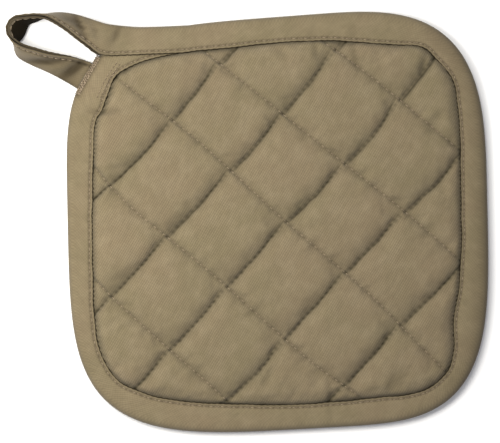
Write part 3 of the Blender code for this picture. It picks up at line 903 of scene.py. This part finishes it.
def tapeSection(width, opening, foldOpening, nose):
    # The section's points for all places at once: across from the fold, height, and place on the cloth
    half = 0.5 * tape["cloth"]
    parts = []

    def openingAt(across):
        return blend(foldOpening, opening, smoothShare(across / width))

    def skin(across, side, outer):
        return across, side * (openingAt(across) + (half if outer else -half)), side * across

    fromRim = (0.0007, 0.0010, 0.00135, 0.0017, 0.00205, 0.0024, 0.0030)
    shares = (0.72, 0.46, 0.24, 0.08)
    angles = (80, 64, 48, 32, 16)
    flangeEnd = width - half
    outerReach = width - 0.0030 - nose

    for distance in fromRim:
        parts.append(skin(width - distance, -1, True))
    for value in shares:
        parts.append(skin(nose + outerReach * value, -1, True))
    for degrees in [-angle for angle in angles] + [0] + list(reversed(angles)):
        turn = math.radians(degrees)
        across = nose * (1.0 - math.cos(turn))
        parts.append((across, (openingAt(nose) + half) * math.sin(turn), nose * math.sin(turn)))
    for value in reversed(shares):
        parts.append(skin(nose + outerReach * value, 1, True))
    for distance in reversed(fromRim):
        parts.append(skin(width - distance, 1, True))
    seamIndex = len(parts) - 4
    for degrees in (80, 45, 10, -25, -60):
        turn = math.radians(degrees)
        across = flangeEnd + half * math.cos(turn)
        sine = math.sin(turn)
        parts.append((across, openingAt(width) + half * sine, width + half * (1.0 - sine)))
    innerNose = nose - 0.8 * tape["cloth"]
    innerReach = flangeEnd - 0.0008 * 2 - nose
    for value in (1.0, 0.6, 0.3, 0.0):
        across = nose + innerReach * value
        parts.append((across, openingAt(across) - half, width + tape["cloth"] + width - across))
    for degrees in (50, 0, -50):
        turn = math.radians(degrees)
        across = nose - innerNose * math.cos(turn)
        parts.append((across, (openingAt(nose) - half) * math.sin(turn), 2.0 * width))
    for value in (0.0, 0.3, 0.6, 1.0):
        across = nose + innerReach * value
        parts.append((across, -openingAt(across) + half, -(width + tape["cloth"] + width - across)))
    for degrees in (60, 25, -10, -45, -80):
        turn = math.radians(degrees)
        across = flangeEnd + half * math.cos(turn)
        sine = math.sin(turn)
        parts.append((across, -openingAt(width) + half * sine, -(width + half * (1.0 + sine))))
    across, height, onCloth = (np.stack([part[axis] + 0.0 * width for part in parts], axis=1)
                               for axis in range(3))
    return across, height, onCloth, seamIndex


def between(run, start, rise, end, fall):
    # 1 from start to end along the tape, with a soft rise and a soft fall
    return smoothShare((run - start) / rise) * (1.0 - smoothShare((run - end) / fall))


def makeBindingTape(stations, material):
    rows, run, loopStart = tapeRows(stations)
    rim, fold = rows[:, 0:3], rows[:, 3:6]
    width = np.linalg.norm(rim - fold, axis=1)
    inward = (rim - fold) / width[:, None]
    middleLine = 0.5 * (rim + fold)
    ahead = unit(np.gradient(middleLine, axis=0))
    normal = unit(np.cross(ahead, inward))
    nose =np.minimum(rows[:, 8], 0.35 * width)
    across, height, onCloth, seamIndex = tapeSection(width, rows[:, 6], rows[:, 7], nose)
    count, around = across.shape
    print("tape:", count, "places,", around, "points each")

    # Crown, seam groove, needle bites and ripples on both outer skins
    fromRim = width[:, None] - across
    outer = np.zeros(around, dtype=bool)
    outer[:seamIndex + 6] = True
    side = np.where(height >= 0.0, 1.0, -1.0)
    depth = tape["seamDepth"] * bell(fromRim - tape["seamInset"], tape["seamWidth"])
    hole = (np.arange(count) % 2 == 0)[:, None]
    bite = tape["biteDepth"] * np.where(hole, 1.0, -0.7) * bell(fromRim - tape["seamInset"] * 0.7, 0.0014)
    runGrid = np.repeat(run[:, None], around, axis=1)
    flatPlaces = np.column_stack((runGrid.ravel(), onCloth.ravel()))
    ripples = uneven(flatPlaces, (0.0060, 0.012), 2.3).reshape(count, around)
    fine = uneven(flatPlaces, (0.0032, 0.006), 6.1).reshape(count, around)
    fromFold = smoothShare(across / (2.0 * nose[:, None]))
    change = tape["crown"] * np.sin(np.pi * np.clip(across / width[:, None], 0.0, 1.0))
    change = change + (tape["ripple"] * ripples + 0.5 * tape["ripple"] * fine) * fromFold
    change = np.where(outer[None], change - depth - bite, 0.3 * change)
    height = height + side * change
    wave = uneven(np.column_stack((run, run * 0.0)), (0.0075, 1.0), 4.4)
    wobble = 0.00040 * wave[:, None] + np.where(hole, -0.00009, 0.00009)
    across = across + wobble * smoothShare((across / width[:, None] - 0.6) / 0.4)

    points = fold[:, None] + across[..., None] * inward[:, None] + height[..., None] * normal[:, None]
    flat = points.reshape(-1, 3)
    # Soft folds in the upper skin, and the bar tack's pull
    upperSkin = (normal[:, None, 2] * side > 0.15).ravel()
    move = creaseHeight(flat, tape["folds"])
    # On the loop both layers move together, down to the floor at most
    room = np.maximum(fold[:, 2, None] + across * inward[:, 2, None] - 0.0013, 0.0).ravel()
    free = np.repeat(smoothShare((run - loopStart - 0.025) / 0.010)[:, None], around, axis=1).ravel()
    together = np.maximum(move, -room)
    start, end = np.array(barTack["start"]), np.array(barTack["end"])
    along = (end - start) / np.linalg.norm(end - start)
    offset = flat[:, :2] - 0.5 * (start + end)
    lengthwise = np.abs(offset @ along) - 0.5 * np.linalg.norm(end - start)
    sideways = offset @ np.array((-along[1], along[0]))
    press = barTack["press"] * bell(sideways, 0.0019) * (1.0 - smoothShare(lengthwise / 0.002))
    firstRound = (runGrid.ravel() < 0.2)
    apart = np.where(upperSkin & outer[None].repeat(count, 0).ravel(), move, 0.5 * move)
    flat[:, 2] += blend(np.maximum(apart, -0.0014), together, free)
    flat[:, 2] -= np.where(firstRound & upperSkin, press, 0.0)
    flat[:, 2] = np.maximum(flat[:, 2], 0.0)

    index = np.arange(count * around).reshape(count, around)
    here, there = index[:-1], index[1:]
    quads = np.stack((here, np.roll(here, -1, 1), np.roll(there, -1, 1), there), axis=-1).reshape(-1, 4)
    faces = quads.tolist()
    faces.append(index[0][::-1].tolist())
    faces.append(index[-1].tolist())
    placesOnCloth = np.column_stack((runGrid.ravel(), onCloth.ravel(), np.zeros(count * around)))
    piece = addMesh("bindingTape", flat, faces, material, placesOnCloth)
    # Painted shade in seamShade: the seam groove, the folded edge, the inner faces, the loop's leaning
    # strands, creases, the bar tack and the cut edge
    shade = piece.data.attributes.new("seamShade", "FLOAT", "POINT")
    atHole, betweenHoles, reach = tape["grooveShade"]
    groove = bell(fromRim - tape["seamInset"], reach) * np.where(hole, atHole, betweenHoles)
    # Painted shade: the folded edge is darker, and more so on the right side, which turns from the light
    away = smoothShare((fold[:, 0] - 0.060) / 0.035)[:, None]
    edge = 0.35 * bell(across, 0.0012) + (0.12 + 0.34 * away) * bell(across, 0.0035 + 0.0030 * away)
    onLoop = between(run, loopStart + 0.035, 0.015, run[-1] - 0.045, 0.015)[:, None]
    inside = tape["loopInsideShade"] * onLoop * smoothShare((fromRim - 0.0012) / 0.0012)
    inner = np.where(outer[None], np.where(side < 0.0, inside, 0.0), tape["innerShade"])
    leaving = 0.4 * between(run, loopStart + 0.010, 0.014, loopStart + 0.056, 0.010)
    leaving += 0.6 * between(run, loopStart + 0.034, 0.008, loopStart + 0.056, 0.010)
    returning = between(run, run[-1] - 0.060, 0.012, run[-1] - 0.014, 0.008)
    leaning = tape["returningShade"] * returning + tape["leavingShade"] * leaving
    leaning = np.where(outer[None] & (side > 0.0), leaning[:, None], 0.0)
    creased = np.where(upperSkin, np.clip(-move / 0.0018, 0.0, 1.0), 0.0)
    tacked = np.where(upperSkin, bell(sideways, 0.0018) * (1.0 - smoothShare(lengthwise / 0.0012)), 0.0)
    spots = (tape["creaseShade"] * creased + tape["tackShade"] * tacked).reshape(count, around)
    # The cut edge that faces the pad gets next to no light
    rimEdge = np.zeros(fromRim.shape)
    rimEdge[:, seamIndex + 4:seamIndex + 9] = tape["rimShade"]
    rimEdge *= 1.0 - smoothShare((run - loopStart - 0.020) / 0.012)[:, None]
    paintedShading = groove + edge + inner + leaning + rimEdge + spots
    shade.data.foreach_set("value", np.clip(paintedShading, 0.0, 1.9).ravel().astype(np.float32))
    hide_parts("edge_binding", "hanging_loop")
    grid = flat.reshape(count, around, 3)
    upper, lower = grid[:, seamIndex], grid[:, 3]
    outward = unit(upper - lower)
    return piece, [(upper, outward, 1.0), (lower, -outward, -1.0)]


# Thread: every stitch is a short bent tube whose ends go down into the cloth

stitch = {
    "radius": 0.00020,
    "rise": 0.00016,
    "dive": 0.00030,
    "sides": 6,
}


def stitchTubes(starts, middles, ends, normals, radius, rise):
    # Five rings a stitch, from one needle hole to the next
    chord = unit(ends - starts)
    sideways = unit(np.cross(chord, normals))
    upward = unit(np.cross(sideways, chord))
    down = upward * stitch["dive"]
    line = (starts - down, blend(starts, middles, 0.35) + upward * 0.75 * rise, middles + upward * rise,
            blend(ends, middles, 0.35) + upward * 0.75 * rise, ends - down)
    sizes = (0.55, 0.95, 1.0, 0.95, 0.55)
    rings = []
    for place, size in zip(line, sizes):
        for index in range(stitch["sides"]):
            turn = 2.0 * math.pi * index / stitch["sides"]
            rings.append(place + radius * size * (math.cos(turn) * sideways + math.sin(turn) * upward))
    points = np.stack(rings, axis=1)
    coordinates = np.zeros_like(points)
    length = np.linalg.norm(ends - starts, axis=1)
    first = np.cumsum(length) - length
    for ring, share in enumerate((0.0, 0.25, 0.5, 0.75, 1.0)):
        for index in range(stitch["sides"]):
            column = ring * stitch["sides"] + index
            coordinates[:, column, 0] = first + length * share
            coordinates[:, column, 1] = index * 0.0003
    return points.reshape(-1, 3), coordinates.reshape(-1, 3)


def tubeFaces(count):
    sides = stitch["sides"]
    pattern = []
    for ring in range(4):
        for index in range(sides):
            following = (index + 1) % sides
            here = ring * sides
            there = here + sides
            pattern.append((here + index, here + following, there + following, there + index))
    faces = []
    for number in range(count):
        base = number * sides * 5
        faces += [tuple(base + corner for corner in face) for face in pattern]
        faces.append(tuple(base + index for index in reversed(range(sides))))
        faces.append(tuple(base + 4 * sides + index for index in range(sides)))
    return faces


def makeThread(name, stitches, material, radius=stitch["radius"], rise=stitch["rise"]):
    # Each stitch is its start, middle, end and normal
    rows = [np.array(column) for column in zip(*stitches)]
    points, coordinates = stitchTubes(*rows, radius, rise)
    piece = addMesh(name, points, tubeFaces(len(stitches)), material, coordinates)
    print(name + ":", len(stitches), "stitches")


def makeQuiltingThread(seams, material):
    stitches = []
    for line, past, side in seams:
        for index in range(0, len(line) - 2, 2):
            places = line[index:index + 3]
            if not np.isnan(places).any() and min(past[index], past[index + 2]) >= 0.0004:
                stitches.append((*places, up * side))
    makeThread("quiltingThread", stitches, material, radius=quiltedPad["threadRadius"])


def makeBindingThread(seams, material):
    stitches = []
    for line, normals, side in seams:
        for index in range(2, len(line) - 12, 2):
            places = line[index:index + 3]
            # None below where the tape lies on the floor
            if side > 0.0 or places[2, 2] >= 0.0002:
                stitches.append((*places, normals[index]))
    makeThread("bindingThread", stitches, material)


def surfaceHeight(tree, x, y):
    hit = tree.ray_cast(Vector((x + padPlace[0], y + padPlace[1], 0.05)), Vector((0.0, 0.0, -1.0)))
    return hit[0].z if hit[0] is not None else 0.0


def surfaceStitches(tree, places, skipped=()):
    # Stitches from each place to the next along the tape's surface, but for the skipped ones
    stitches = []
    for index, (a, b) in enumerate(zip(places, places[1:])):
        if index not in skipped:
            line = [(*place, surfaceHeight(tree, *place)) for place in (a, 0.5 * (a + b), b)]
            stitches.append((*line, up))
    return stitches


def makeCornerThread(tapePiece, material):
    # The bar tack's zigzag and the second row round the corner
    tree = BVHTree.FromObject(tapePiece, bpy.context.evaluated_depsgraph_get())
    start, end = np.array(barTack["start"]), np.array(barTack["end"])
    along = end - start
    across = np.array((-along[1], along[0])) / np.linalg.norm(along)
    turns = barTack["turns"] * 2
    corners = []
    for index in range(turns + 1):
        sway = 0.5 * barTack["width"] * (1.0 if index % 2 else -1.0)
        jitter = 0.00012 * math.sin(index * 2.7)
        corners.append(start + along * (index / turns) + across * (sway + jitter))
    for offset in barTack["rows"]:
        for index in range(6):
            corners.append(start + along * (0.02 + 0.96 * index / 5) + across * barTack["width"] * offset)
    stitches = surfaceStitches(tree, corners, (turns, turns + 6))
    makeThread("barTackThread", stitches, material, radius=barTack["radius"], rise=barTack["rise"])

    first, last = np.array(cornerRow["start"]), np.array(cornerRow["end"])
    run = last - first
    side = np.array((run[1], -run[0])) / np.linalg.norm(run)
    stitches = []
    for inside in cornerRow["rows"]:
        holes = [first + run * share + side * (cornerRow["bow"] * math.sin(math.pi * share) - inside)
                 for share in np.linspace(0.0, 1.0, 10)]
        stitches += surfaceStitches(tree, holes)
    makeThread("cornerThread", stitches, material)


# Studio: white paper, two softboxes and a straight-down camera

studio = {
    "floor": "#fbfbfb",
    "world": "#f7f8ff",
    "worldStrength": 0.46,
    # name, colour, watts, place, size: a softbox beyond the top edge and a nearer one over the left
    "lights": (
        ("topSoftbox", "#fffcf5", 3.7, (-0.09, 0.43, 0.68), 0.50),
        ("leftSoftbox", "#fffcf5", 1.6, (-0.23, 0.04, 0.33), 0.24),
    ),
    "cameraHeight": 3.0,
    "cameraPlace": (-0.00098, -0.00187),
    "cameraTurn": -2.6,
    "viewWidth": 0.24096,
}


def makeStudio():
    mesh = bpy.data.meshes.new("studioFloor")
    reach = 3.0
    mesh.from_pydata([(-reach, -reach, 0), (reach, -reach, 0), (reach, reach, 0), (-reach, reach, 0)], [],
                     [(0, 1, 2, 3)])
    floor = bpy.data.objects.new("studioFloor", mesh)
    floor.location.z = -0.0002
    bpy.context.collection.objects.link(floor)
    paper = bpy.data.materials.new("matteBackgroundPaper")   # uncoated white paper: no gloss at all
    paper.use_nodes = True
    shader = paper.node_tree.nodes["Principled BSDF"]
    shader.inputs["Base Color"].default_value = linearColour(studio["floor"])
    shader.inputs["Roughness"].default_value = 0.95
    shader.inputs["Specular IOR Level"].default_value = 0.1
    mesh.materials.append(paper)

    scene = bpy.context.scene
    world = bpy.data.worlds.new("softRoom")
    world.use_nodes = True
    background = world.node_tree.nodes["Background"]
    background.inputs["Color"].default_value = linearColour(studio["world"])
    background.inputs["Strength"].default_value = studio["worldStrength"]
    scene.world = world

    for name, colour, power, place, size in studio["lights"]:
        light = bpy.data.lights.new(name, "AREA")
        light.shape = "DISK"
        light.size = size
        light.energy = power
        light.color = linearColour(colour)[:3]
        lightObject = bpy.data.objects.new(name, light)
        lightObject.location = place
        lightObject.rotation_euler = (-Vector(place)).to_track_quat("-Z", "Y").to_euler()
        lightObject.visible_camera = False
        bpy.context.collection.objects.link(lightObject)

    camera = bpy.data.cameras.new("camera")
    camera.sensor_width = 36.0
    camera.lens = camera.sensor_width * studio["cameraHeight"] / studio["viewWidth"]
    camera.clip_end = 20.0
    cameraObject = bpy.data.objects.new("camera", camera)
    cameraObject.location = (*studio["cameraPlace"], studio["cameraHeight"])
    cameraObject.rotation_euler = (0.0, 0.0, math.radians(studio["cameraTurn"]))
    bpy.context.collection.objects.link(cameraObject)
    scene.camera = cameraObject
    scene.view_settings.view_transform = "Standard"
    scene.view_settings.look = "None"


panelTwill = clothMaterial("cottonTwillWoven", panelCloth)
biasTape = clothMaterial("cottonBiasTapePressed", tapeCloth)
sewingThread = threadMaterial("spunSewingThread", threadFinish)
print("materials made")

makeStudio()
print("studio made")

stations = edgeStations(tape["spacing"])
padSeams = makeQuiltedPad(stations, panelTwill)
print("pad made")
tapePiece, tapeSeams = makeBindingTape(stations, biasTape)
print("tape made")
makeQuiltingThread(padSeams, sewingThread)
makeBindingThread(tapeSeams, sewingThread)
makeCornerThread(tapePiece, sewingThread)
print("thread made")
